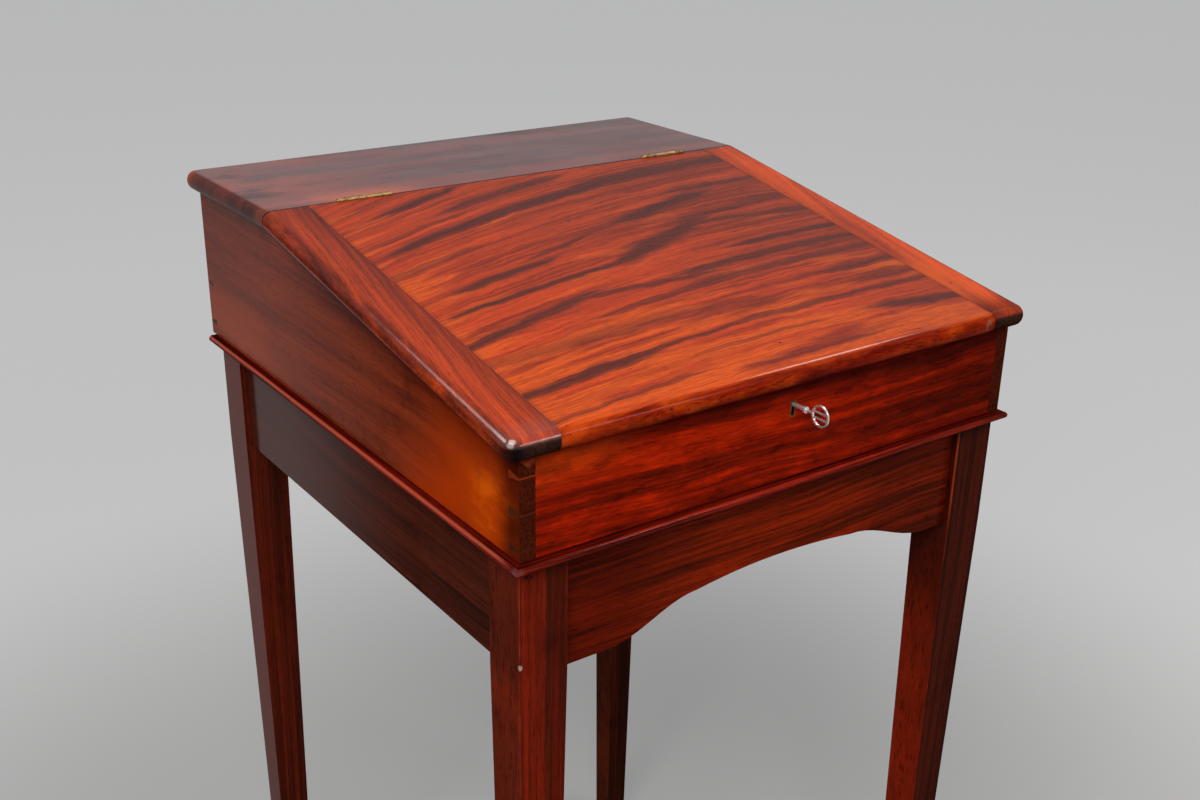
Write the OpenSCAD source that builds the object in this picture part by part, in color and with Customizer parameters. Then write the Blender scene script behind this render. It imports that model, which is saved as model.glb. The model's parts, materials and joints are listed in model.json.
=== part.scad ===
// Slant-lid standing desk: a dovetailed writing box with a hinged, locking lid, on a four-legged stand.
// The origin is on the floor, under the middle of the whole desk. The front of the desk faces -Y.

/* [Overall] */
// Height of the flat top above the floor
desk_h = 1140; // [1040:1:1240]
// Width of the box over its side boards
box_w = 600; // [500:1:700]
// Depth of the box, front face to back face
box_d = 682; // [600:1:760]
// Height of the box, underside to flat top
box_h = 198; // [192:1:240]
// Depth of the flat top, from the hinge joint to the back of the box
flat_d = 221; // [150:1:260]
// Slope of the lid in degrees
slope = 10; // [7:0.5:11]

/* [Boards] */
// Thickness of the lid and of the flat top
top_t = 22; // [18:0.5:26]
// Thickness of the four box boards
board_t = 16; // [14.5:0.5:22]
// Thickness of the bottom board
bottom_t = 9; // [6:0.5:12]
// Depth of the rebate that holds the bottom board
rebate = 8; // [5:0.5:10]
// How far the top and the lid stand past the box at the sides
side_lip = 16; // [10:0.5:24]
// How far the lid stands past the front board
front_lip = 12; // [8:0.5:24]
// How far the flat top stands past the back board
back_lip = 3; // [1:0.5:12]
// Height of the flat left between the upper and lower rounding of the top's and the lid's edges
nose_flat = 1; // [0.5:0.5:8]
// How much larger the corners' radius is, seen from above, than the edges' rounding
corner_more = 1.5; // [0.5:0.5:8]
// Gap at the joint between the lid and the flat top
joint_gap = 1; // [0.6:0.1:2]
// Gap between the closed lid and the box
lid_gap = 0.3; // [0.2:0.1:0.5]

/* [Lid] */
// Width of the clamps that cross the ends of the lid panel
clamp_w = 51; // [35:1:70]
// Thickness of the tongues on the panel's ends
tongue_t = 8; // [5:0.5:10]
// Length of the tongues
tongue_l = 12; // [6:0.5:20]
// How far the tongues stop short of the lid's edges
tongue_stop = 20; // [12:1:30]

/* [Dovetails] */
// Height of the lowest pin of the front corners
front_pin_z = 10; // [6:0.5:14]
// Spacing of the pins of the front corners
front_pin_step = 33.5; // [24:0.5:36]
// Number of pins in a front corner
front_pins = 3; // [2:1:3]
// Distance of the outer pins of the back corners from the boards' edges
back_pin_edge = 16; // [8:0.5:24]
// Number of pins in a back corner
back_pins = 4; // [2:1:6]
// Width of a pin at the corner
pin_tip = 1.6; // [1:0.1:4]
// Width of a pin at its root
pin_root = 8; // [5:0.5:12]

/* [Stand] */
// Width of a leg at its top
leg_w = 50; // [42:1:60]
// Width of a leg at the floor
foot_w = 32; // [24:1:40]
// Height of the aprons
apron_h = 116; // [100:1:150]
// Thickness of the aprons
apron_t = 20; // [16:1:24]
// How far the aprons lie behind the outer faces of the legs
apron_set = 8; // [4:1:10]
// How far the legs stand in from the sides of the box
leg_side_in = 2; // [0:0.5:12]
// How far the legs stand in from the front of the box
leg_front_in = 4; // [0:0.5:12]
// How far the legs stand in from the back of the box, which leaves room for a skirting board
leg_back_in = 22; // [0:1:40]
// Thickness of the aprons' tenons
tenon_t = 9; // [6:0.5:12]
// Shoulder above and below a tenon
tenon_step = 12; // [6:1:20]
// Wood left between the two tenons that meet in a leg
tenon_gap = 1.5; // [1:0.5:4]
// Width of the flat ear at the left end of the front apron, whose arch is cut by hand and isn't quite even
left_ear = 50; // [30:1:60]
// Width of the flat ear at its right end
right_ear = 28; // [20:1:60]
// Width of the shoulder between the left ear and the flat arch
left_shoulder = 103; // [60:1:115]
// Width of the shoulder between the right ear and the flat arch
right_shoulder = 115; // [60:1:120]
// Rise of the shoulders
shoulder_rise = 28.5; // [15:0.5:40]
// Further rise of the flat arch at its middle
arch_rise = 7; // [4:0.5:16]
// How far the glue blocks stop short of the legs' inner edges
block_step = 2; // [1:0.5:6]
// Height of the glue blocks
block_h = 70; // [40:1:85]

/* [Bead] */
// Thickness of the bead frame that the box stands on
bead_t = 9; // [7:0.5:12]
// How far the bead stands past the box
bead_out = 8; // [5:0.5:12]
// How far the side beads stop short of the back of the box
bead_stop = 6; // [0:1:20]
// Height of the shadow gap between the bead's nose and the box
shadow_gap = 1.2; // [0.5:0.1:2]
// How far the shadow gap runs in under the box
shadow_in = 8; // [4:0.5:16]

/* [Hinges] */
// Length of a butt hinge
hinge_l = 63.5; // [50:0.5:80]
// Distance of each hinge's middle from the side of the box
hinge_in = 100; // [80:1:130]
// Diameter of the hinge knuckles
knuckle_d = 5.2; // [4.8:0.1:6]
// Number of knuckles on a hinge
knuckles = 5; // [3:2:7]
// Diameter of the hinge pins
hinge_pin_d = 2.2; // [1.8:0.1:2.6]
// Radial clearance of a hinge pin
pin_fit = 0.05; // [0.02:0.01:0.1]
// Height of the hinge axis above the flat top
axis_up = 0.5; // [0.4:0.1:1.2]
// Height of a hinge leaf below the axis
leaf_h = 17; // [13:0.5:19]
// Thickness of a hinge leaf
leaf_t = 1.6; // [1.2:0.1:2.4]
// Clearance round a knuckle and between knuckles
knuckle_gap = 0.3; // [0.2:0.1:0.5]

/* [Lock] */
// Height of the key's axis below the selvedge's top
key_drop = 19; // [18.5:0.5:20]
// Width of the lock case
case_w = 64; // [62:1:76]
// Height of the lock case below the selvedge
case_h = 33; // [31.5:0.5:38]
// Width of the lock's back plate
plate_w = 78; // [76:1:90]
// Thickness of the lock's plates
plate_t = 1.4; // [1.2:0.1:1.4]
// Wood left in front of the lock
lock_cover = 5.8; // [5:0.1:6]
// Thickness of the selvedge
selvedge_t = 2; // [1.5:0.5:2.5]
// Distance of each link from the middle of the lock
link_x = 14; // [13.5:0.5:15]
// Thickness of a link
link_t = 2.5; // [2:0.1:2.8]
// Travel of the bolt over one turn of the key
bolt_throw = 6; // [5:0.5:6]
// Clearance of the sliding and turning pieces of the lock
lock_gap = 0.3; // [0.2:0.1:0.4]

/* [Key] */
// Diameter of the key's pipe
pipe_d = 4.4; // [4:0.1:4.8]
// Diameter of the drill pin that the pipe turns on
drill_d = 2.2; // [1.8:0.1:2.4]
// Radius that the key's bit reaches
bit_r = 8.5; // [8:0.1:8.8]
// Thickness of the bit
bit_t = 2; // [1.6:0.1:2.2]
// Distance of the key's collar from the front board
collar_y = 15; // [13:0.5:25]
// Distance of the bow's middle from the front board
bow_y = 35.6; // [33:0.1:50]
// Radius of the bow
bow_r = 10.6; // [9:0.1:12]
// Width of the bow's ring
bow_ring = 1.5; // [1.2:0.1:2.4]
// Thickness of the bow
bow_t = 2; // [1.5:0.1:3]

/* [Screws] */
// Head diameter of the hinge and lock screws
screw_head = 5.2; // [4:0.1:6]
// Shank diameter of the hinge and lock screws
screw_d = 2.8; // [2:0.1:3.4]
// Length of the hinge screws
hinge_screw_l = 14; // [8:1:18]
// Length of the lock screws
lock_screw_l = 9; // [6:0.5:11]
// Head diameter of the screws that hold the box to the stand
box_screw_head = 8; // [6:0.5:10]
// Shank diameter of those screws
box_screw_d = 4; // [3:0.5:5]
// Length of those screws
box_screw_l = 45; // [25:1:60]

/* [Hidden] */
$fn = 48;

// Colours of the woods and metals
lid_wood = [0.62, 0.22, 0.10];
top_wood = [0.45, 0.22, 0.18];
box_wood = [0.52, 0.17, 0.08];
stand_wood = [0.34, 0.10, 0.06];
inner_wood = [0.55, 0.40, 0.26];
brass = [0.72, 0.58, 0.30];
steel = [0.62, 0.60, 0.58];

// Where the box starts: its underside, and its front face, which centres the desk between key and back
box_z = desk_h - box_h;
key_reach = bow_y + bow_r;
front_y = -(box_d + back_lip - key_reach) / 2;
stand_z = box_z - bead_t;

// The ridge, where the flat top meets the lid, measured from the box's front face
ridge_y = box_d - flat_d;
half_w = box_w / 2;
inner_half = half_w - board_t;
top_half = half_w + side_lip;
top_under = box_h - top_t;
nose_r = (top_t - nose_flat) / 2;
corner_r = nose_r + corner_more;
lid_l = (ridge_y + front_lip) / cos(slope);
eps = 0.01;
over = 1;

// Height of the lid's underside, less the lid gap, at a depth y from the front face
function edge_z(y) = box_h - top_t / cos(slope) - (ridge_y - y) * tan(slope) - lid_gap;

// The lid's own frame starts at the ridge, with y up the slope and z square to the lid
module in_box() translate([0, front_y, box_z]) children();
module in_lid() in_box() translate([0, ridge_y, box_h]) rotate([slope, 0, 0]) children();
module both_sides() { children(); mirror([1, 0, 0]) children(); }

// A prism along X, from x0 to x1, whose outline is drawn in y and z
module along_x(x0, x1) translate([x0, 0, 0]) rotate([90, 0, 90]) linear_extrude(x1 - x0) children();
// A prism along Y, from y0 to y1, whose outline is drawn in x and z
module along_y(y0, y1) translate([0, y1, 0]) rotate([90, 0, 0]) linear_extrude(y1 - y0) children();

// A countersunk screw, head up at z = 0, with a slot of its own unless it is used as a cutter
module screw(head, shank, long, slot = true) {
    head_h = (head - shank) / 2;
    difference() {
        union() {
            translate([0, 0, -head_h]) cylinder(d1 = shank, d2 = head, h = head_h);
            translate([0, 0, -long]) cylinder(d = shank, h = long - head_h);
        }
        if (slot) cube([head + over, head / 7, head / 5], center = true);
    }
}

// Legs: square down to the aprons' lower edge, then tapered on all four faces
leg_x = half_w - leg_side_in - leg_w / 2;
leg_y_front = leg_front_in + leg_w / 2;
leg_y_back = box_d - leg_back_in - leg_w / 2;
taper_z = stand_z - apron_h;
tenon_l = leg_w - apron_set - (apron_t + tenon_t) / 2 - tenon_gap;
tenon_h = apron_h - 2 * tenon_step;
apron_mid = leg_w / 2 - apron_set - apron_t / 2;

module leg_outline() polygon([
    [-foot_w / 2, 0], [foot_w / 2, 0], [leg_w / 2, taper_z],
    [leg_w / 2, stand_z], [-leg_w / 2, stand_z], [-leg_w / 2, taper_z]
]);

// A leg of the back right corner: its outer faces look to +X and +Y, its mortises open to -X and -Y
module leg() difference() {
    intersection() {
        along_x(-leg_w / 2, leg_w / 2) leg_outline();
        along_y(-leg_w / 2, leg_w / 2) leg_outline();
    }
    translate([-leg_w / 2 - over, apron_mid - tenon_t / 2, taper_z + tenon_step])
        cube([tenon_l + over, tenon_t, tenon_h]);
    translate([apron_mid - tenon_t / 2, -leg_w / 2 - over, taper_z + tenon_step])
        cube([tenon_t, tenon_l + over, tenon_h]);
}

module placed_leg(side, end) translate([side * leg_x, front_y + (end > 0 ? leg_y_back : leg_y_front), 0])
    scale([side, end, 1]) leg();

module leg_front_left() color(stand_wood) placed_leg(-1, -1);
module leg_front_right() color(stand_wood) placed_leg(1, -1);
module leg_back_left() color(stand_wood) placed_leg(-1, 1);
module leg_back_right() color(stand_wood) placed_leg(1, 1);

// Aprons: boards between the legs, with tenons into them
front_span = leg_x - leg_w / 2;
side_start = leg_y_front + leg_w / 2;
side_end = leg_y_back - leg_w / 2;

module apron(half, long) {
    translate([-half, -apron_t / 2, taper_z]) cube([2 * half, apron_t, apron_h]);
    translate([-half - long, -tenon_t / 2, taper_z + tenon_step]) cube([2 * (half + long), tenon_t, tenon_h]);
}

// The lower edge of the front apron: two shoulders that rise in a long double curve to a flat arch
shoulder_steps = 10;
arch_steps = 6;
function half_arch(side, outer, inner) = concat(
    [for (i = [0:shoulder_steps]) let (t = i / shoulder_steps)
        [side * (outer + (inner - outer) * t), shoulder_rise * (1 - cos(180 * t)) / 2]],
    [for (i = [1:arch_steps]) let (t = i / arch_steps)
        [side * inner * (1 - t), shoulder_rise + arch_rise * (1 - pow(1 - t, 2))]],
    [[0, -over], [side * outer, -over]]
);
module arch_outline() {
    polygon(half_arch(-1, front_span - left_ear, front_span - left_ear - left_shoulder));
    polygon(half_arch(1, front_span - right_ear, front_span - right_ear - right_shoulder));
}

front_apron_y = leg_y_front - apron_mid;
back_apron_y = leg_y_back + apron_mid;
side_apron_x = leg_x + apron_mid;

module front_apron() color(stand_wood) translate([0, front_y + front_apron_y, 0]) difference() {
    apron(front_span, tenon_l);
    translate([0, 0, taper_z]) along_y(-apron_t, apron_t) arch_outline();
}
module back_apron() color(stand_wood) translate([0, front_y + back_apron_y, 0]) apron(front_span, tenon_l);
module side_apron() translate([side_apron_x, front_y + (side_start + side_end) / 2, 0])
    rotate([0, 0, 90]) apron((side_end - side_start) / 2, tenon_l);
module left_apron() color(stand_wood) mirror([1, 0, 0]) side_apron();
module right_apron() color(stand_wood) side_apron();

// Glue blocks: two behind each leg, in the angles that it makes with its aprons
block_w = leg_w - apron_set - apron_t - block_step;
front_block_y = front_apron_y + apron_t / 2;
back_block_y = back_apron_y - apron_t / 2 - block_w;
side_block_x = side_apron_x - apron_t / 2 - block_w;

module glue_block() translate([0, 0, box_z - block_h]) cube([block_w, block_w, block_h]);
module glue_blocks() color(inner_wood) both_sides() {
    difference() {
        union() {
            translate([front_span - block_w, front_y + front_block_y, 0]) glue_block();
            translate([front_span - block_w, front_y + back_block_y, 0]) glue_block();
        }
        box_screw_pair(false);
    }
    translate([side_block_x, front_y + side_start, 0]) glue_block();
    translate([side_block_x, front_y + side_end - block_w, 0]) glue_block();
}

// Screws from inside the box, through its bottom, into the front and back glue blocks
module box_screw_pair(slot) for (y = [front_block_y, back_block_y])
    translate([front_span - block_w / 2, front_y + y + block_w / 2, box_z + bottom_t])
        screw(box_screw_head, box_screw_d, box_screw_l, slot);
module box_screws() color(steel) both_sides() box_screw_pair(true);

// Bead frame: flat strips on top of the legs and aprons, with a half-round nose outside the box
nose_t = bead_t - shadow_gap;
bead_r = nose_t / 2;
bead_in = leg_front_in + apron_set + apron_t;
bead_side_in = leg_side_in + apron_set + apron_t;
bead_end = box_d - bead_stop;
strip_end = box_d - leg_back_in;
strip_start = strip_end - apron_set - apron_t;

module bead_profile(far) {
    translate([-bead_out + bead_r, bead_r]) circle(bead_r);
    translate([-bead_out + bead_r, 0]) square([bead_out - bead_r + far, nose_t]);
    translate([shadow_in, 0]) square([far - shadow_in, bead_t]);
}
module bead_plan(x_in, y_in) polygon([
    [-half_w - bead_out, -bead_out], [half_w + bead_out, -bead_out],
    [half_w - x_in, y_in], [-half_w + x_in, y_in]
]);
module bead_front() color(stand_wood) in_box() translate([0, 0, -bead_t]) intersection() {
    along_x(-half_w - bead_out, half_w + bead_out) bead_profile(bead_in);
    linear_extrude(bead_t) bead_plan(bead_side_in, bead_in);
}
module bead_side() translate([0, front_y, box_z - bead_t]) difference() {
    translate([-half_w, 0, 0]) along_y(-bead_out, bead_end) bead_profile(bead_side_in);
    translate([0, 0, -over]) linear_extrude(bead_t + 2 * over) bead_plan(bead_side_in, bead_in);
}
module bead_left() color(stand_wood) bead_side();
module bead_right() color(stand_wood) mirror([1, 0, 0]) bead_side();
module back_strip() color(stand_wood) in_box() translate([-half_w + bead_side_in, strip_start, -bead_t])
    cube([box_w - 2 * bead_side_in, strip_end - strip_start, bead_t]);

// Box boards, joined at the corners by narrow dovetail pins
module bottom_blank() translate([-inner_half - rebate, board_t - rebate, 0])
    cube([2 * (inner_half + rebate), box_d - 2 * (board_t - rebate), bottom_t]);
module bottom_board() color(inner_wood) difference() {
    in_box() bottom_blank();
    both_sides() box_screw_pair(false);
}

module pin_outline() polygon([
    [0, -pin_tip / 2], [board_t, -pin_root / 2], [board_t, pin_root / 2], [0, pin_tip / 2]
]);
back_pin_step = (top_under - 2 * back_pin_edge) / (back_pins - 1);
module front_pin_row(x0, x1) for (i = [0:front_pins - 1])
    translate([0, 0, front_pin_z + i * front_pin_step]) along_x(x0, x1) pin_outline();
module back_pin_row(x0, x1) for (i = [0:back_pins - 1])
    translate([0, box_d, back_pin_edge + i * back_pin_step]) mirror([0, 1, 0]) along_x(x0, x1) pin_outline();

module side_outline() polygon([
    [0, 0], [box_d, 0], [box_d, top_under], [ridge_y + joint_gap / 2, top_under],
    [ridge_y + joint_gap / 2, edge_z(ridge_y + joint_gap / 2)], [0, edge_z(0)]
]);
module side_board() in_box() difference() {
    along_x(inner_half, half_w) side_outline();
    front_pin_row(inner_half - over, half_w + over);
    back_pin_row(inner_half - over, half_w + over);
    bottom_blank();
}
module left_side() color(box_wood) mirror([1, 0, 0]) side_board();
module right_side() color(box_wood) side_board();

module front_outline() polygon([[0, 0], [board_t, 0], [board_t, edge_z(board_t)], [0, edge_z(0)]]);
module front_board() color(box_wood) in_box() difference() {
    union() {
        along_x(-inner_half, inner_half) front_outline();
        both_sides() front_pin_row(inner_half, half_w);
    }
    bottom_blank();
    lock_mortise();
    keyhole_cut();
}
module back_board() color(box_wood) in_box() difference() {
    union() {
        translate([-inner_half, box_d - board_t, 0]) cube([2 * inner_half, board_t, top_under]);
        both_sides() back_pin_row(inner_half, half_w);
    }
    bottom_blank();
}

// Edge of the top and the lid: rounded above and below, nearly flat between; u runs outwards, v up
module nose_profile(long) {
    translate([0, -top_t]) square([long - nose_r, top_t]);
    translate([long - nose_r, -nose_r]) circle(nose_r);
    translate([long - nose_r, nose_r - top_t]) circle(nose_r);
    translate([long - nose_r, nose_r - top_t]) square([nose_r, top_t - 2 * nose_r]);
}
// A board with its top face at z = 0 that runs from y = 0; the edge rounding goes round both far corners
module nosed_board(long) union() {
    along_y(0, long - corner_r) {
        nose_profile(top_half);
        mirror([1, 0]) nose_profile(top_half);
    }
    along_x(corner_r - top_half, top_half - corner_r) nose_profile(long);
    both_sides() translate([top_half - corner_r, long - corner_r, 0])
        rotate_extrude(angle = 90) intersection() {
            nose_profile(corner_r);
            translate([0, -top_t]) square([corner_r, top_t]);
        }
}

module top_board() color(top_wood) in_box() difference() {
    translate([0, ridge_y + joint_gap / 2, box_h]) nosed_board(flat_d + back_lip - joint_gap / 2);
    both_sides() {
        hinge_housing(1);
        fixed_screw_row(false);
    }
}

// Lid: a panel whose grain runs across the desk, held flat by a clamp at each end
panel_half = top_half - clamp_w;
module lid_blank() intersection() {
    in_lid() mirror([0, 1, 0]) translate([0, -2 * top_t, 0]) nosed_board(lid_l + 2 * top_t);
    in_box() translate([-box_w, -box_d, 0]) cube([2 * box_w, box_d + ridge_y - joint_gap / 2, 2 * box_h]);
}
module tongue(side) in_lid() translate([side * (panel_half + tongue_l / 2), 0, -top_t / 2])
    translate([-tongue_l / 2, -lid_l + tongue_stop, -tongue_t / 2])
        cube([tongue_l, lid_l - 2 * tongue_stop, tongue_t]);
module lid_middle() in_lid() translate([-panel_half, -2 * lid_l, -2 * top_t])
    cube([2 * panel_half, 3 * lid_l, 4 * top_t]);

module lid_panel() color(lid_wood) difference() {
    union() {
        intersection() {
            lid_blank();
            lid_middle();
        }
        tongue(-1);
        tongue(1);
    }
    in_box() both_sides() {
        hinge_housing(-1);
        lid_screw_row(false);
    }
    in_lid() link_housing();
}
module lid_clamp(side) difference() {
    intersection() {
        lid_blank();
        in_lid() translate([side > 0 ? panel_half : -panel_half - 2 * clamp_w, -2 * lid_l, -2 * top_t])
            cube([2 * clamp_w, 3 * lid_l, 4 * top_t]);
    }
    tongue(side);
}
module lid_clamp_left() color(lid_wood) lid_clamp(-1);
module lid_clamp_right() color(lid_wood) lid_clamp(1);

// Butt hinges: leaves let into the two faces of the joint, knuckles just above the flat top
axis_z = box_h + axis_up;
knuckle_r = knuckle_d / 2;
knuckle_l = hinge_l / knuckles;
hinge_x = half_w - hinge_in;
hinge_start = hinge_x - hinge_l / 2;

module on_axis(x) translate([x, ridge_y, axis_z]) rotate([0, 90, 0]) children();
module leaf_blank(dir, h) translate([hinge_start, ridge_y + (dir > 0 ? joint_gap / 2 : -joint_gap / 2 - leaf_t), axis_z - h])
    cube([hinge_l, leaf_t, h]);
module hinge_housing(dir) {
    leaf_blank(dir, leaf_h);
    on_axis(hinge_start - knuckle_gap) cylinder(r = knuckle_r + knuckle_gap, h = hinge_l + 2 * knuckle_gap);
}
// dir is 1 for the leaf on the flat top and -1 for the leaf on the lid
function own_first(dir) = dir > 0 ? 0 : 1;
module knuckle_row(first, grow, cut) for (i = [first:2:knuckles - 1])
    on_axis(hinge_start + i * knuckle_l + cut) cylinder(r = knuckle_r + grow, h = knuckle_l - 2 * cut);
module leaf(dir) difference() {
    union() {
        difference() {
            leaf_blank(dir, leaf_h);
            knuckle_row(1 - own_first(dir), knuckle_gap, 0);
        }
        knuckle_row(own_first(dir), 0, knuckle_gap / 2);
    }
    on_axis(hinge_start - over) cylinder(d = hinge_pin_d + 2 * pin_fit, h = hinge_l + 2 * over);
    if (dir > 0) fixed_screw_row(false);
    if (dir < 0) lid_screw_row(false);
}
module hinge_pin() on_axis(hinge_start) cylinder(d = hinge_pin_d, h = hinge_l);

// Three screws in each leaf, driven into the edges of the boards
screw_xs = [-hinge_l * 0.36, 0, hinge_l * 0.36];
screw_drop = (leaf_h + knuckle_r + knuckle_gap) / 2;
module leaf_screw_row(dir, slot) for (x = screw_xs)
    translate([hinge_x + x, ridge_y + dir * joint_gap / 2, axis_z - screw_drop])
        rotate([dir * 90, 0, 0]) screw(screw_head, screw_d, hinge_screw_l, slot);
module fixed_screw_row(slot) leaf_screw_row(1, slot);
module lid_screw_row(slot) leaf_screw_row(-1, slot);

module hinge_fixed_leaf_left() color(brass) in_box() mirror([1, 0, 0]) leaf(1);
module hinge_fixed_leaf_right() color(brass) in_box() leaf(1);
module hinge_lid_leaf_left() color(brass) in_box() mirror([1, 0, 0]) leaf(-1);
module hinge_lid_leaf_right() color(brass) in_box() leaf(-1);
module hinge_pin_left() color(steel) in_box() mirror([1, 0, 0]) hinge_pin();
module hinge_pin_right() color(steel) in_box() hinge_pin();
module hinge_fixed_screws() color(brass) in_box() both_sides() fixed_screw_row(true);
module hinge_lid_screws() color(brass) in_box() both_sides() lid_screw_row(true);

// Lock: its selvedge lies in the front board's top edge, its case behind the keyhole
selvedge_top = edge_z(lock_cover) - over;
case_top = selvedge_top - selvedge_t;
case_bottom = case_top - case_h;
key_z = selvedge_top - key_drop;
cap_back = lock_cover + plate_t;
plate_front = board_t - plate_t;
case_half = case_w / 2;
plate_half = plate_w / 2;
rim = 1.6;
selvedge_half = case_half + 3;
selvedge_front = lock_cover - 1.5;
plate_bottom = case_bottom - 1.5;

module block(x0, x1, y0, y1, z0, z1) translate([x0, y0, z0]) cube([x1 - x0, y1 - y0, z1 - z0]);
module lock_mortise() {
    block(-case_half, case_half, lock_cover, board_t + over, case_bottom, case_top);
    block(-plate_half, plate_half, plate_front, board_t + over, plate_bottom, box_h);
    block(-selvedge_half, selvedge_half, selvedge_front, board_t + over, case_top, box_h);
    lock_screw_set(false);
}

// The bolt: a full-depth bar with a talon for the bit, and two fingers that pass through the links
bolt_floor = key_z + 7;
bar_h = 2.6;
talon_top = key_z + bit_r + 0.5;
finger_z = bolt_floor + bar_h + 2.3;
finger_h = 2.8;
finger_y = 11.2;
finger_t = 1.8;
body_top = case_top - 2.4;
link_clear = link_t / 2 + lock_gap + 0.05;
talon_swing = acos((bolt_floor - key_z) / bit_r);
bit_side = bit_t / 2 + lock_gap;
function bit_in_bolt(turn) = bit_r * sin(turn) - bolt_throw * (180 + turn) / 360;
talon_left = bit_in_bolt(-talon_swing) - bit_side;
talon_right = bit_in_bolt(talon_swing) + bit_side;
body_left = -link_x + link_clear;
body_right = link_x - link_clear - bolt_throw;
tail_right = -link_x - link_clear - bolt_throw;
tail_left = tail_right - 5;
bar_right = link_x + 6;
slide_front = cap_back + lock_gap;
slide_back = plate_front - lock_gap;

module lock_bolt() color(brass) in_box() difference() {
    union() {
        block(tail_left, bar_right, slide_front, slide_back, bolt_floor, bolt_floor + bar_h);
        block(body_left, body_right, slide_front, slide_back, bolt_floor, body_top);
        block(tail_left, tail_right, slide_front, slide_back, bolt_floor, body_top);
        block(tail_right - eps, tail_right + bolt_throw, finger_y - finger_t / 2, finger_y + finger_t / 2,
            finger_z, finger_z + finger_h);
        block(body_right - eps, body_right + bolt_throw, finger_y - finger_t / 2, finger_y + finger_t / 2,
            finger_z, finger_z + finger_h);
    }
    block(talon_left, talon_right, 0, board_t, bolt_floor - over, talon_top);
}

// The case: back plate, rim, selvedge, and two ledges that the bolt slides on
slot_y0 = finger_y - 4.4;
slot_y1 = finger_y + 2.9;
module lock_case() color(brass) in_box() difference() {
    union() {
        block(-plate_half, plate_half, plate_front, board_t, plate_bottom, selvedge_top);
        block(-selvedge_half, selvedge_half, selvedge_front, board_t, case_top, selvedge_top);
        block(-case_half, -case_half + rim, cap_back, board_t, case_bottom, selvedge_top);
        block(case_half - rim, case_half, cap_back, board_t, case_bottom, selvedge_top);
        block(-case_half, case_half, cap_back, board_t, case_bottom, case_bottom + rim);
        both_sides() block(bit_r + 1.5, case_half, cap_back, board_t, bolt_floor - lock_gap - 2.4,
            bolt_floor - lock_gap);
    }
    both_sides() block(link_x - link_t / 2 - 0.6, link_x + link_t / 2 + 0.6, slot_y0, slot_y1,
        case_top - over, selvedge_top + over);
    translate([0, 0, key_z]) along_y(0, board_t + over) circle(d = drill_d);
    lock_screw_set(false);
}

// The keyhole: a round hole for the pipe over a straight slot for the bit
hole_r = pipe_d / 2 + 0.6;
hole_slot = bit_t + 1.4;
hole_drop = bit_r + 1.6;
liner_t = 1.2;
liner_depth = 3;
module keyhole(grow) {
    circle(hole_r + grow);
    translate([-hole_slot / 2 - grow, -hole_drop]) square([hole_slot + 2 * grow, hole_drop]);
    translate([0, -hole_drop]) circle(hole_slot / 2 + grow);
}
module keyhole_cut() translate([0, 0, key_z]) {
    along_y(-over, liner_depth) keyhole(liner_t);
    along_y(-over, lock_cover + over) keyhole(0);
}
module keyhole_liner() color(brass) in_box() translate([0, 0, key_z]) along_y(0, liner_depth) difference() {
    keyhole(liner_t);
    keyhole(0);
}
module lock_cap() color(brass) in_box() difference() {
    block(-case_half, case_half, lock_cover, cap_back, case_bottom, case_top);
    translate([0, 0, key_z]) along_y(0, board_t) keyhole(0);
}
module drill_pin() color(steel) in_box() translate([0, 0, key_z]) along_y(2, board_t) circle(d = drill_d);

// A bowed strip between the selvedge and the bolt's body, which keeps the bolt from sliding by itself
spring_half = 7;
spring_t = 0.5;
spring_dip = case_top - body_top - 2 * lock_gap - spring_t;
spring_r = (pow(spring_half, 2) + pow(spring_dip, 2)) / (2 * spring_dip);
spring_x = (body_left + body_right) / 2;
module bolt_spring() color(steel) in_box() translate([spring_x, 0, 0]) intersection() {
    translate([0, 0, case_top - spring_dip - spring_t + spring_r + spring_t - lock_gap / 2])
        along_y(slide_front + over, slide_back - over) difference() {
            circle(spring_r + spring_t, $fn = 96);
            circle(spring_r, $fn = 96);
        }
    block(-spring_half, spring_half, 0, board_t, body_top, case_top - eps);
}

// Screws through the four corners of the back plate
module lock_screw_set(slot) both_sides() for (z = [plate_bottom + 6, selvedge_top - 12])
    translate([(case_half + plate_half) / 2, board_t, z]) rotate([-90, 0, 0])
        screw(screw_head * 0.8, screw_d * 0.8, lock_screw_l, slot);
module lock_screws() color(brass) in_box() lock_screw_set(true);

// The key: a pipe that turns on the drill pin, a bit, a collar, and a ring bow with two plain bars
key_end = plate_front - lock_gap - 0.1;
bit_front = cap_back + lock_gap + 0.5;
bore_d = drill_d + 0.2;
bore_end = -2;
collar_l = 2.5;
neck_d = 2.4;
bar_z = 2.9;
bow_bar = 1.2;
module key() color(steel) in_box() translate([0, 0, key_z]) difference() {
    union() {
        along_y(-collar_y, key_end) circle(d = pipe_d);
        along_y(-collar_y - collar_l, -collar_y) circle(d = pipe_d + 2);
        along_y(-bow_y + bow_r - bow_ring, -collar_y - collar_l) circle(d = neck_d);
        block(-bit_t / 2, bit_t / 2, bit_front, key_end, -bit_r, 0);
        translate([-bow_t / 2, -bow_y, 0]) rotate([0, 90, 0]) difference() {
            cylinder(r = bow_r, h = bow_t);
            translate([0, 0, -over]) difference() {
                cylinder(r = bow_r - bow_ring, h = bow_t + 2 * over);
                for (side = [-1, 1]) translate([side * bar_z - bow_bar / 2, -bow_r, 0])
                    cube([bow_bar, 2 * bow_r, bow_t + 2 * over]);
            }
        }
    }
    along_y(bore_end, board_t) circle(d = bore_d);
    block(-bit_t, bit_t, (bit_front + key_end) / 2 - 0.6, (bit_front + key_end) / 2 + 0.6,
        -bit_r - over, -bit_r + 2.4);
}

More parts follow.
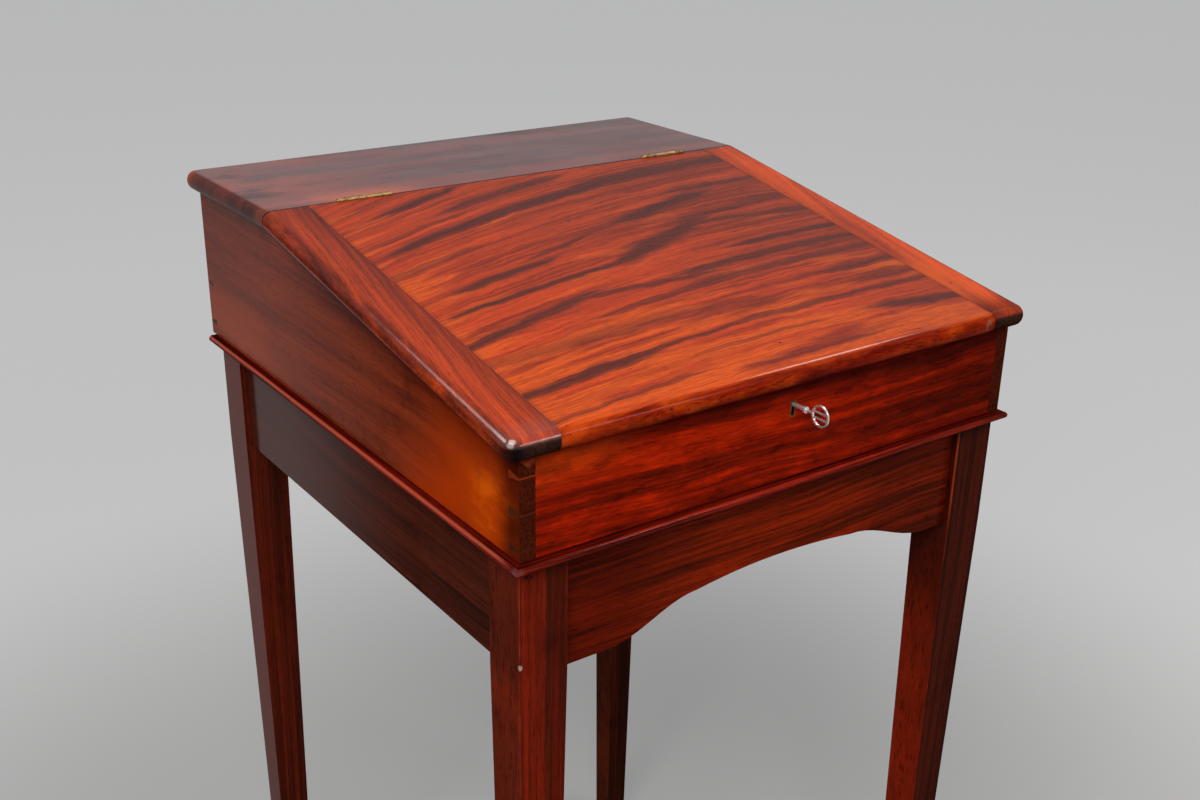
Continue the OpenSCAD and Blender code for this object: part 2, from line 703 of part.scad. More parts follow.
// The link plate in the lid's underside, with two links whose eyes take the bolt's fingers
eye_z = finger_z + finger_h / 2;
eye_v = -(ridge_y - finger_y) * cos(slope) - (box_h - eye_z) * sin(slope);
eye_w = (ridge_y - finger_y) * sin(slope) - (box_h - eye_z) * cos(slope);
eye_tall = finger_h + 1.2;
eye_wide = finger_t + 1.2;
link_wide = eye_wide + 2;
link_bottom = eye_w - eye_tall / 2 - 1;
link_plate_t = 1.6;
link_plate_half = 30;
link_plate_w = 14;
link_screw_x = 24;
link_screw_l = 12;

module link_housing() {
    block(-link_plate_half, link_plate_half, eye_v - link_plate_w / 2, eye_v + link_plate_w / 2,
        -top_t - over, -top_t + link_plate_t);
    link_screw_pair(false);
}
module link_screw_pair(slot) both_sides() translate([link_screw_x, eye_v, -top_t]) rotate([180, 0, 0])
    screw(screw_head * 0.8, screw_d * 0.8, link_screw_l, slot);
module link_plate() color(brass) in_lid() difference() {
    union() {
        block(-link_plate_half, link_plate_half, eye_v - link_plate_w / 2, eye_v + link_plate_w / 2,
            -top_t, -top_t + link_plate_t);
        both_sides() block(link_x - link_t / 2, link_x + link_t / 2, eye_v - link_wide / 2,
            eye_v + link_wide / 2, link_bottom, -top_t + eps);
    }
    both_sides() block(link_x - link_t, link_x + link_t, eye_v - eye_wide / 2, eye_v + eye_wide / 2,
        eye_w - eye_tall / 2, eye_w + eye_tall / 2);
    link_screw_pair(false);
}
module link_screws() color(brass) in_lid() link_screw_pair(true);

leg_front_left();
leg_front_right();
leg_back_left();
leg_back_right();
front_apron();
back_apron();
left_apron();
right_apron();
bead_front();
bead_left();
bead_right();
back_strip();
glue_blocks();
box_screws();
bottom_board();
left_side();
right_side();
front_board();
back_board();
top_board();
lid_panel();
lid_clamp_left();
lid_clamp_right();
hinge_fixed_leaf_left();
hinge_fixed_leaf_right();
hinge_lid_leaf_left();
hinge_lid_leaf_right();
hinge_pin_left();
hinge_pin_right();
hinge_fixed_screws();
hinge_lid_screws();
lock_case();
lock_cap();
lock_bolt();
bolt_spring();
drill_pin();
lock_screws();
keyhole_liner();
key();
link_plate();
link_screws();
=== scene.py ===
"""The standing desk's looks: varnished mahogany, worn edges, aged brass and a steel key on the CAD part."""

import json
import math

import bmesh
import bpy
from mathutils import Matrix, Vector


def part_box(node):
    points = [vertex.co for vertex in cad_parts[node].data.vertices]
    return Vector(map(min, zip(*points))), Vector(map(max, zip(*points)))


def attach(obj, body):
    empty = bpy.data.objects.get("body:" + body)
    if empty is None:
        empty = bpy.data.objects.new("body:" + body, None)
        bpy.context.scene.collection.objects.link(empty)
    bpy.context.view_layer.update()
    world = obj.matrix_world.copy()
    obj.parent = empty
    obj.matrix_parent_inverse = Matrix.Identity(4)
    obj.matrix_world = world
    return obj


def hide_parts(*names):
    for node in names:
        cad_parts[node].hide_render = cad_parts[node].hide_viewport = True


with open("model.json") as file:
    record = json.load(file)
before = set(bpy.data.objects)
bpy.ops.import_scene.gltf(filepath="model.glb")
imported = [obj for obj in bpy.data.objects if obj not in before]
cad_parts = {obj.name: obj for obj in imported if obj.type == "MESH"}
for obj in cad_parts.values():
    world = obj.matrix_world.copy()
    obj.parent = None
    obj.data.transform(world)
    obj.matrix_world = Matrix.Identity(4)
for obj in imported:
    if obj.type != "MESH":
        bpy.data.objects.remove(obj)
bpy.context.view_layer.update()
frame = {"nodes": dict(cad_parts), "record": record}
NODES = frame["nodes"]
BODY_OF = {node: body for body, names in frame["record"]["behaviour"]["bodies"].items() for node in names}

# Sizes of the part in metres, from the boxes of its nodes, and the lid's slope
side_low, side_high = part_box("left_side")
top_low, top_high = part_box("top_board")
leg_low, leg_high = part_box("leg_front_left")
bead_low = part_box("bead_front")[0]
FRONT_Y = side_low.y
BACK_Y = side_high.y
BOX_Z = side_low.z
SIDE_H = side_high.z - side_low.z
HALF_W = -side_low.x
BOARD_T = side_high.x - side_low.x
TOP_Z = top_high.z
TOP_HALF = top_high.x
PANEL_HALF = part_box("lid_clamp_right")[0].x
RIDGE_Y = (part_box("lid_panel")[1].y + top_low.y) / 2
SLOPE = math.radians(10)

# The photograph's camera: focal length and width in pixels, place in metres, turn in degrees
FOCAL = 1388.75
PHOTO_WIDTH = 1200
SENSOR = 36
CAMERA_PLACE = (-0.84057, -1.17686, 1.50607)
CAMERA_TURN = (67.63983, -0.91633, -35.48896)

# How the boards' arrises are eased, in metres and degrees
EASE_WIDTH = 0.0007
SHORTEST_ARRIS = 0.060
MERGE_DISTANCE = 1e-6
FLAT_ANGLE = 0.5
ARRIS_ANGLE = 35
SMOOTH_ANGLE = 32

# Marks on the lid, placed by their distances from its middle and down from the ridge. Its front edge gets a
# painted shade from EDGE_START on, in full at EDGE_FULL.
EDGE_START = 0.4705
EDGE_FULL = 0.477
PIN_HOLES = ((0.094, 0.067), (-0.024, 0.128), (0.011, 0.433), (0.278, 0.404))
PIN_HOLE_R = 0.0011
SCUFF = (0.255, 0.480)
SCUFF_R = 0.003

# Single marks elsewhere, with their radii
KNOT = (0.093, FRONT_Y + 0.50, TOP_Z)
KNOT_R = 0.0013
CLAMP_TIP = (-TOP_HALF, RIDGE_Y - 0.480, 1.046)
CLAMP_TIP_R = 0.012
BEAD_TIP = (bead_low.x, bead_low.y, BOX_Z - 0.004)
BEAD_TIP_R = 0.006
CHIPS = (
    ((leg_low.x, leg_low.y, BOX_Z - 0.105), 0.0022),
    ((leg_high.x - 0.001, leg_low.y, BOX_Z - 0.0115), 0.0025),
)
NICKS = (
    ((-0.291, leg_low.y, BOX_Z - 0.018), 0.0014),
    ((-0.286, leg_low.y, BOX_Z - 0.019), 0.0012),
    ((0.253, leg_low.y, BOX_Z - 0.020), 0.0022),
)

# Floor and lamps, in metres and watts: each lamp's name, place, width and power, and a softbox's colour
FLOOR_REACH = 40
BOX_MIDDLE = (0, 0, 0.9)
LID_FRONT = (-0.1, -0.33, 1.0)
SOFTBOXES = (
    ("key_light", (-2.2, -2.0, 3.4), 2.4, 156, (1.0, 0.98, 0.95)),
    ("fill_light", (2.2, -2.2, 2.6), 2.0, 44, (1.0, 0.97, 0.94)),
)
SPARKS = (
    ("spark_left", (-0.86, 0.39, 1.84), 0.40, 4),
    ("spark_corner", (-0.48, -0.46, 2.05), 0.90, 24),
    ("spark_nose", (-1.0, -0.72, 1.80), 1.10, 22),
    ("spark_right", (1.0, -0.07, 2.10), 0.30, 3),
    ("spark_front", (1.5, -2.4, 2.5), 0.60, 14),
)

# How much of a metre across a level face counts as one across the grain
LEVEL_SHARE = 0.93

# The woods' colours, from dark to light streaks, and those of their end grain
LID = dict(dark=(0.28, 0.023, 0.003), mid=(0.48, 0.041, 0.004), light=(0.64, 0.057, 0.004))
CLAMP = dict(dark=(0.28, 0.030, 0.009), mid=(0.46, 0.045, 0.008), light=(0.62, 0.066, 0.008),
             end=(0.034, 0.011, 0.007))
TOP = dict(dark=(0.090, 0.008, 0.007), mid=(0.150, 0.014, 0.011), light=(0.22, 0.022, 0.014),
           end=(0.036, 0.010, 0.007))
SIDE = dict(dark=(0.130, 0.019, 0.007), mid=(0.190, 0.028, 0.009), light=(0.265, 0.038, 0.011),
            end=(0.033, 0.0046, 0.0018))
FRONT = dict(dark=(0.120, 0.0058, 0.0006), mid=(0.245, 0.0085, 0.0006), light=(0.37, 0.0145, 0.0008),
             end=(0.030, 0.0046, 0.0018))
BEAD = dict(dark=(0.055, 0.004, 0.002), mid=(0.150, 0.0085, 0.003), light=(0.26, 0.015, 0.005))
STAND = dict(dark=(0.050, 0.0052, 0.001), mid=(0.125, 0.0090, 0.0015), light=(0.21, 0.014, 0.002))
SIDE_STAND = dict(dark=(0.028, 0.006, 0.003), mid=(0.056, 0.010, 0.0045), light=(0.092, 0.015, 0.006))
LEG = dict(dark=(0.036, 0.0058, 0.0022), mid=(0.066, 0.0085, 0.003), light=(0.115, 0.012, 0.004))
INNER = dict(dark=(0.20, 0.090, 0.035), mid=(0.36, 0.180, 0.075), light=(0.46, 0.26, 0.12))
BARE = dict(coat=0.0, end=(0.10, 0.05, 0.03), wear=0.0)


def make_camera():
    data = bpy.data.cameras.new("camera")
    data.sensor_width = SENSOR
    data.lens = FOCAL / PHOTO_WIDTH * SENSOR
    camera = bpy.data.objects.new("camera", data)
    camera.location = CAMERA_PLACE
    camera.rotation_euler = [math.radians(angle) for angle in CAMERA_TURN]
    bpy.context.scene.collection.objects.link(camera)
    bpy.context.scene.camera = camera


def rgba(colour):
    if isinstance(colour, bpy.types.NodeSocket):
        return colour
    return (*colour, 1.0)


class Nodes:
    """A node tree, with short calls for the nodes that the woods, the metals and the light are made of."""

    def __init__(self, tree):
        self.tree = tree
        self.coord = self.add("ShaderNodeTexCoord")

    def add(self, kind, inputs=(), **props):
        node = self.tree.nodes.new(kind)
        for key, value in props.items():
            setattr(node, key, value)
        for key, value in dict(inputs).items():
            self.put(node.inputs[key], value)
        return node

    def put(self, socket, value):
        if isinstance(value, bpy.types.NodeSocket):
            self.tree.links.new(value, socket)
        else:
            socket.default_value = value

    def math(self, operation, *values, clamp=False):
        return self.add("ShaderNodeMath", enumerate(values), operation=operation, use_clamp=clamp).outputs[0]

    def chain(self, operation, values):
        total = values[0]
        for value in values[1:]:
            total = self.math(operation, total, value)
        return total

    def times(self, *values):
        return self.chain("MULTIPLY", values)

    def plus(self, *values):
        return self.chain("ADD", values)

    def most(self, *values):
        return self.chain("MAXIMUM", values)

    def minus(self, value, taken):
        return self.math("SUBTRACT", value, taken)

    def absolute(self, value):
        return self.math("ABSOLUTE", value)

    def linear(self, value, factor, offset):
        return self.math("MULTIPLY_ADD", value, factor, offset)

    def swing(self, noise, amount):
        """A noise moved to lie about zero, and scaled."""
        return self.times(self.minus(noise, 0.5), amount)

    def map(self, value, low, high, out_low=0.0, out_high=1.0):
        """A smooth step from out_low at value low to out_high at value high; low may be the larger one."""
        inputs = {"Value": value, "From Min": low, "From Max": high, "To Min": out_low, "To Max": out_high}
        return self.add("ShaderNodeMapRange", inputs, interpolation_type="SMOOTHSTEP").outputs[0]

    def band(self, value, centre, half, soft):
        """1 within half of centre, falling to 0 over soft."""
        away = self.absolute(self.minus(value, centre))
        return self.map(away, half, half + soft, 1.0, 0.0)

    def vec(self, x, y, z):
        return self.add("ShaderNodeCombineXYZ", {0: x, 1: y, 2: z}).outputs[0]

    def split(self, vector):
        return self.add("ShaderNodeSeparateXYZ", {0: vector}).outputs

    def normal(self):
        return self.split(self.coord.outputs["Normal"])

    def noise(self, vector, scale=1.0, detail=2.0, rough=0.5, distortion=0.0):
        inputs = {"Vector": vector, "Scale": scale, "Detail": detail, "Roughness": rough,
                  "Distortion": distortion}
        return self.add("ShaderNodeTexNoise", inputs, noise_dimensions="3D").outputs[0]

    def patches(self, x, y, z, detail=2.0, rough=0.5, distortion=0.0):
        """Noise with its own scale on each axis: an axis is a value alone, or a value and its scale."""
        axes = [self.times(*axis) if isinstance(axis, tuple) else axis for axis in (x, y, z)]
        return self.noise(self.vec(*axes), 1.0, detail, rough, distortion)

    def mix(self, start, end, factor, blend="MIX"):
        node = self.add("ShaderNodeMix", data_type="RGBA", blend_type=blend, clamp_factor=True)
        self.put(node.inputs["Factor"], factor)
        self.put(node.inputs[6], rgba(start))
        self.put(node.inputs[7], rgba(end))
        return node.outputs[2]

    def ramp(self, factor, first, last, *between):
        """A colour ramp through stops, each a position and a colour."""
        node = self.add("ShaderNodeValToRGB", {"Fac": factor})
        items = node.color_ramp.elements
        for i, (position, colour) in enumerate((first, last, *between)):
            item = items[i] if i < 2 else items.new(position)
            item.position = position
            item.color = rgba(colour)
        return node.outputs[0]

    def seen(self):
        """1 for rays that show a thing, straight or mirrored, and 0 for those that carry its light."""
        path = self.add("ShaderNodeLightPath").outputs
        return self.most(path["Is Camera Ray"], path["Is Glossy Ray"], path["Is Transmission Ray"])


class Shader(Nodes):
    """The nodes of a new material."""

    def __init__(self, name):
        self.mat = bpy.data.materials.new(name)
        self.mat.use_nodes = True
        super().__init__(self.mat.node_tree)
        self.bsdf = self.tree.nodes["Principled BSDF"]

    def bump(self, strength, distance, height):
        inputs = {"Strength": strength, "Distance": distance, "Height": height}
        return self.add("ShaderNodeBump", inputs).outputs[0]

    def finish(self, **inputs):
        """Fills the shader's inputs, named with _ for a space, and returns the material."""
        for name, value in inputs.items():
            self.put(self.bsdf.inputs[name.replace("_", " ")], value)
        return self.mat


def grain_frame(s, grain, slope, shift):
    """Each point's distances along, across and into the grain, its share of end grain, and its place."""
    vector = s.coord.outputs["Object"]
    normal = s.coord.outputs["Normal"]
    if slope:
        turn = {"Axis": (1, 0, 0), "Angle": -slope}
        centre = {"Center": (0, RIDGE_Y, TOP_Z)}
        vector = s.add("ShaderNodeVectorRotate", {"Vector": vector, **centre, **turn}).outputs[0]
        normal = s.add("ShaderNodeVectorRotate", {"Vector": normal, **turn}).outputs[0]
    x, y, z = s.split(vector)
    nx, ny, nz = s.split(normal)
    order = {"X": (x, y, z, nx), "Y": (y, x, z, ny), "Z": (z, x, y, nz)}[grain]
    if grain != "Z" and not slope:
        along, across, _, facing = order
        order = (along, s.plus(z, s.times(across, LEVEL_SHARE)), across, facing)
    moved = [s.plus(value, offset) for value, offset in zip(order[:3], shift)]
    return moved, s.absolute(order[3]), (x, y, z)


def wander(s, along, across, into, wave, lean):
    """The distance across the grain, moved by the grain's long waves and its lean."""
    drift = s.patches((along, 1.6), (across, 3.0), into)
    bend = s.patches((along, 7.0), (across, 12.0), into)
    across = s.plus(across, s.swing(drift, wave * 5), s.swing(bend, wave))
    return s.linear(along, lean, across)


def rub_arrises(s, colour, light, wear):
    """Lighter wood where an eased arris is rubbed through."""
    arris = s.times(s.add("ShaderNodeAttribute", attribute_name="arris").outputs["Fac"], wear)
    rub = s.noise(s.coord.outputs["Object"], 22.0, 3.0, 0.65)
    rubbed = tuple(min(1.0, 1.2 * part + 0.015) for part in light)
    return s.mix(colour, rubbed, s.times(arris, s.map(rub, 0.45, 0.65)))


def wood(name, dark, mid, light, grain="X", slope=0.0, shift=(0, 0, 0), streak=(1.6, 30.0), wave=0.010,
         weights=(1.0, 0.7, 0.5), lines=0.5, end=(0.016, 0.005, 0.003), coat=0.4, gloss=0.16, figure=None,
         marks=None, wear=0.5, lean=0.0):
    """Varnished wood: soft streaks, lines and pores along the grain, darker end grain and rubbed arrises."""
    s = Shader(name)
    (u, v, w), facing_end, place = grain_frame(s, grain, slope, shift)
    v = figure.flow(s, place) if figure else wander(s, u, v, w, wave, lean)

    def fibres(along, across, into=3.0, detail=2.0, rough=0.5, distortion=0.0):
        """Noise with so many patches a metre along, across and into the grain."""
        return s.patches((u, along), (v, across), (w, into), detail, rough, distortion)

    soft = fibres(streak[0], streak[1], distortion=0.2)
    narrow = fibres(streak[0] * 2.5, streak[1] * 4.5, rough=0.55)
    thin = fibres(9.0, 420.0, 60.0, 3.0, 0.7)
    tone = s.plus(0.5, *[s.swing(layer, weight) for layer, weight in zip((soft, narrow, thin), weights)])
    colour = s.ramp(tone, (0.36, dark), (0.64, light), (0.5, mid))
    if figure:
        colour = figure.tint(s, colour, v, place)
    hair = fibres(16.0, 780.0, 200.0, rough=0.6)
    fine = s.plus(s.map(thin, 0.44, 0.60, 0.0, 0.6), s.map(hair, 0.46, 0.62, 0.0, 0.4))
    colour = s.mix(colour, (0.40, 0.36, 0.40), s.times(fine, lines), "MULTIPLY")
    pores = fibres(70.0, 1500.0, 500.0, detail=1.0)
    colour = s.mix(colour, (0.30, 0.22, 0.20), s.map(pores, 0.58, 0.68, 0.0, 0.7), "MULTIPLY")
    colour = rub_arrises(s, colour, light, wear)
    rings = s.patches((v, 300.0), (w, 420.0), (u, 60.0), 3.0)
    end_colour = s.mix(end, tuple(2.2 * part for part in end), s.map(rings, 0.35, 0.7))
    colour = s.mix(colour, end_colour, s.map(facing_end, 0.66, 0.9))
    swell = s.noise(s.coord.outputs["Object"], 26.0)
    look = {"colour": colour, "coat": coat, "height": s.plus(s.times(thin, 0.25), s.times(swell, 5.0))}
    if marks:
        marks(s, look, place)
    return s.finish(Base_Color=look["colour"], Roughness=s.plus(0.45, s.swing(narrow, 0.3)),
                    Normal=s.bump(0.4, 0.0002, look["height"]), Coat_Weight=look["coat"],
                    Coat_Roughness=gloss, Coat_IOR=1.5, Specular_IOR_Level=0.0)


class LidFigure:
    """The lid panel's figure: its grain rises in long arcs from the left, with soft dark streaks in it."""

    # Each streak: the distance from the ridge that its arc reaches at the panel's right end, its half width,
    # its left and right ends, its depth of tone, and its lean off the arcs. Lengths are in millimetres.
    STREAKS = (
        (39, 9, -225, 70, 1.0, 0), (33, 12, 40, 270, 0.75, 0), (-50, 8, -190, -110, 0.8, 0),
        (-5, 9, -125, 25, 0.7, 0), (12, 3, -270, -115, 0.5, 0), (91, 8, -270, -165, 0.4, 0),
        (93, 7, 150, 270, 0.6, 0), (148, 8, 215, 270, 0.5, 0), (94, 9, 42, 165, 1.0, 172),
        (139, 3, -18, 4, 0.5, 0), (158, 4, 112, 186, 0.6, 0), (129, 13, -22, 114, 1.0, 288),
        (189, 6, 104, 270, 0.65, -90), (226, 5, -244, -12, 0.8, -38), (166, 6, -212, -103, 0.8, 0),
        (109, 4, -108, -36, 0.6, 116), (221, 8, -270, -108, 0.95, 96), (307, 5, -116, 42, 0.7, -131),
        (267, 7, 24, 270, 0.8, 5), (239, 5, 128, 270, 0.75, 0), (300, 4, -112, 30, 0.6, 0),
        (294, 6, 8, 270, 0.65, 0), (329, 7, 178, 270, 0.6, 0), (375, 10, -270, 60, 0.4, -115),
        (359, 8, 198, 270, 0.45, 0), (385, 8, -270, -118, 0.85, 0), (382, 3, -128, 2, 0.7, 0),
        (379, 5, -8, 270, 0.65, 6), (425, 8, 170, 270, 0.8, -119), (411, 3, -70, 64, 0.4, 0),
        (441, 3, -270, -102, 0.5, 0), (456, 4, -36, 112, 0.45, 0),
    )
    # Where the arcs end, and their bend: at the ridge, its loss a metre down, and its gain a metre left
    ARC_END = 0.259
    BEND = 0.371
    BEND_LOSS = 0.942
    BEND_GAIN = 0.29

    def flow(self, s, place):
        """How far down from the ridge each point's arc ends, at the panel's right end."""
        x, y, _ = place
        self.down = s.minus(RIDGE_Y, y)
        self.reach = s.minus(self.ARC_END, x)
        square = s.times(self.reach, self.reach)
        bend = s.minus(self.BEND, s.times(self.down, self.BEND_LOSS))
        bend = s.plus(bend, s.times(self.reach, self.BEND_GAIN))
        stir = s.patches((x, 24.0), (self.down, 40.0), 0.0)
        return s.plus(s.minus(self.down, s.times(bend, square)), s.swing(stir, 0.010))

    def streak(self, s, arc, x, ragged, row):
        """The depth of tone of one streak, fading to 0 at its ragged sides and its ends."""
        where, half, start, stop, depth, lean = row
        middle = s.linear(self.reach, lean / 1000, where / 1000) if lean else where / 1000
        away = s.math("DIVIDE", s.absolute(s.minus(arc, middle)), half / 1000)
        ends = s.times(s.map(x, start / 1000 - 0.05, start / 1000 + 0.02),
                       s.map(x, stop / 1000 - 0.02, stop / 1000 + 0.05, 1.0, 0.0))
        away = s.plus(away, ragged, s.times(s.minus(1.0, ends), 1.5))
        return s.map(away, 0.4, 1.7, min(1.0, depth * 1.3), 0.0)

    def tint(self, s, colour, arc, place):
        """The streaks, over orange blotches gathered to the front left as painted light, and a painted
        reflection that dulls the wood to the back right.
        """
        x = place[0]
        ragged = s.swing(s.patches((x, 16.0), (arc, 360.0), 3.0, 5.0, 0.7), 2.4)
        streaks = s.most(*[self.streak(s, arc, x, ragged, row) for row in self.STREAKS])
        # Orange blotches, laid thickest to the front left as a painted pool of light
        across = s.patches((x, 7.0), (arc, 45.0), 7.0)
        sunny = s.minus(s.times(self.down, self.down, 2.0), s.times(s.plus(x, 0.26), 0.30))
        sunny = s.plus(sunny, s.map(x, -0.17, -0.262, 0.0, 0.15))
        glow = s.map(s.plus(s.times(across, 1.6), sunny), 0.90, 1.22, 0.0, 0.85)
        colour = s.mix(colour, (0.72, 0.092, 0.003), glow)
        # Painted reflection: greyer and duller to the back right
        far_reflection = s.minus(s.times(s.plus(x, 0.05), 0.60), s.times(self.down, 0.58))
        colour = s.mix(colour, (0.56, 0.80, 1.3), s.map(far_reflection, -0.22, 0.10, 0.0, 0.52), "MULTIPLY")
        return s.mix(colour, (0.098, 0.012, 0.006), s.times(streaks, 0.92))


def metal(name, base, tarnish, rough, spots, metallic=1.0):
    """Aged metal: a bright base under uneven tarnish, with fine scratches."""
    s = Shader(name)
    where = s.coord.outputs["Object"]
    cloud = s.noise(where, 160.0, 4.0, 0.6)
    grime = s.noise(where, 640.0, 3.0, 0.65)
    amount = s.map(s.plus(cloud, s.times(grime, 0.35)), 0.55, 0.85, 0.0, spots)
    stretched = s.add("ShaderNodeMapping", {"Vector": where, "Scale": (1200.0, 160.0, 2600.0)}).outputs[0]
    scratch = s.noise(stretched)
    return s.finish(Base_Color=s.mix(base, tarnish, amount), Metallic=metallic,
                    Roughness=s.plus(rough, s.times(amount, 0.3)),
                    Normal=s.bump(0.25, 0.0001, s.plus(scratch, cloud)))


def spot(s, centre, radius, soft=0.5):
    """1 within radius of a point, in metres, falling to 0 over soft radii."""
    ends = {0: s.coord.outputs["Object"], 1: centre}
    away = s.add("ShaderNodeVectorMath", ends, operation="DISTANCE").outputs["Value"]
    return s.map(away, radius, radius * (1 + soft), 1.0, 0.0)


def spots(s, rows):
    return s.most(*[spot(s, centre, radius) for centre, radius in rows])


def lid_spot(s, place, where, radius):
    """1 within radius of a point of the lid, given by its distances from its middle and the ridge."""
    away = s.vec(s.minus(place[0], where[0]), s.minus(place[1], RIDGE_Y - where[1]), 0.0)
    length = s.add("ShaderNodeVectorMath", {0: away}, operation="LENGTH").outputs["Value"]
    return s.map(length, radius, radius * 1.6, 1.0, 0.0)


def shade(s, look, factor, amount):
    """Multiplies the colour by factor, which makes it darker below 1 and lighter above."""
    look["colour"] = s.mix(look["colour"], factor, amount, "MULTIPLY")


def cover(s, look, colour, amount):
    look["colour"] = s.mix(look["colour"], colour, amount)


def plain_marks(s, look):
    """Faint darker blotches."""
    blot = s.noise(s.coord.outputs["Object"], 14.0, 3.0, 0.6)
    shade(s, look, (0.45, 0.38, 0.36), s.map(blot, 0.52, 0.74, 0.0, 0.6))


def ridge_gap(s, look, y):
    """A dark line along the gap between the lid and the top board."""
    shade(s, look, (0.12, 0.10, 0.10), s.band(y, RIDGE_Y, 0.0007, 0.0010))


def lid_marks(s, look, place):
    """A dark seam beside each clamp, a painted shade on the front edge, which has small dents, and a few pin
    holes.
    """
    x, y, z = place
    across = s.absolute(x)
    seam = s.band(across, PANEL_HALF, 0.0002, 0.0005)
    shade(s, look, (0.45, 0.33, 0.30), s.times(s.band(across, PANEL_HALF, 0.001, 0.005), 0.3))
    cover(s, look, (0.04, 0.008, 0.004), s.times(seam, 0.4))
    blot = s.patches((x, 26.0), (z, 90.0), (y, 20.0), 4.0, 0.6)
    edge = s.map(y, RIDGE_Y - EDGE_START, RIDGE_Y - EDGE_FULL)
    # Painted shade on the front edge, in blotches
    shaded_edge = s.times(edge, s.map(across, PANEL_HALF + 0.001, PANEL_HALF))
    shade(s, look, (0.36, 0.14, 0.10), s.times(shaded_edge, s.map(blot, 0.40, 0.70, 1.0, 0.55)))
    bright = s.times(shaded_edge, s.map(x, -0.17, -0.25, 0.0, 0.8), s.map(blot, 0.40, 0.60, 0.3, 1.0))
    cover(s, look, (0.46, 0.050, 0.004), bright)
    sides = s.map(across, TOP_HALF - 0.013, TOP_HALF - 0.005, 0.0, 0.9)
    shade(s, look, (0.26, 0.26, 0.40), s.times(sides, s.map(blot, 0.42, 0.70, 1.0, 0.30)))
    fleck = s.noise(s.coord.outputs["Object"], 190.0)
    dents = s.times(s.map(y, RIDGE_Y - 0.468, RIDGE_Y - 0.474), s.map(fleck, 0.70, 0.74))
    dents = s.most(dents, *[lid_spot(s, place, hole, PIN_HOLE_R) for hole in PIN_HOLES])
    cover(s, look, (0.03, 0.010, 0.008), s.times(dents, 0.85))
    ridge_gap(s, look, y)
    scuff = s.times(lid_spot(s, place, SCUFF, SCUFF_R), s.map(fleck, 0.50, 0.62, 0.0, 0.7))
    cover(s, look, (0.20, 0.085, 0.07), scuff)
    look["height"] = s.minus(look["height"], s.times(s.plus(seam, dents), 5.0))
    look["coat"] = s.minus(0.50, s.times(edge, 0.42))


def clamp_marks(s, look, place):
    """Each clamp is darker along the seam; the right one is orange near its front, and dark at its tip."""
    x, y, _ = place
    down = s.minus(RIDGE_Y, y)
    blot = s.patches((x, 14.0), (down, 5.0), 0.0, 3.0, 0.55)
    inner = s.map(s.plus(s.absolute(x), s.swing(blot, 0.05)), 0.266, 0.296, 1.0, 0.0)
    shade(s, look, (0.55, 0.55, 0.75), s.times(inner, s.map(down, 0.30, 0.48, 0.8, 0.5)))
    right = s.map(x, 0.0, 0.1)
    shade(s, look, (1.48, 1.65, 1.25), right)
    front = s.times(s.map(down, 0.31, 0.38), s.map(down, 0.42, 0.46, 1.0, 0.0), s.map(x, 0.300, 0.282))
    cover(s, look, (0.66, 0.092, 0.004), s.times(right, front, s.map(blot, 0.36, 0.6, 0.2, 0.85)))
    ridge = s.times(s.map(down, 0.06, 0.0, 0.0, 0.7), s.map(blot, 0.4, 0.6, 0.4, 1.0))
    shade(s, look, (0.65, 0.75, 0.9), ridge)
    tip = s.times(right, s.map(down, 0.430, 0.470), s.map(blot, 0.3, 0.6, 0.7, 1.0))
    shade(s, look, (0.32, 0.30, 0.50), tip)
    lid_marks(s, look, place)
    shade(s, look, (0.16, 0.25, 0.45), spot(s, CLAMP_TIP, CLAMP_TIP_R, 1.2))
    clamp_coat(s, look, x, down, tip)


def clamp_coat(s, look, x, down, tip):
    """The varnish shines on top, most at the front left corner, and in a line along the left nosing."""
    rise = s.normal()[2]
    up = s.map(rise, 0.15, 0.45)
    corner = s.times(s.map(down, 0.440, 0.470), s.map(x, 0.0, -0.1))
    shade(s, look, (0.60, 0.62, 0.70), s.times(corner, s.minus(1.0, up)))
    coat = s.linear(s.times(corner, up), 0.5, s.linear(up, 0.37, 0.06))
    under = s.times(s.band(rise, -0.28, 0.10, 0.14), s.map(x, -0.29, -0.30, 0.0, 0.5),
                    s.map(down, 0.36, 0.12, 0.08, 1.0))
    look["coat"] = s.math("SUBTRACT", s.plus(coat, under), s.times(tip, 0.28), clamp=True)


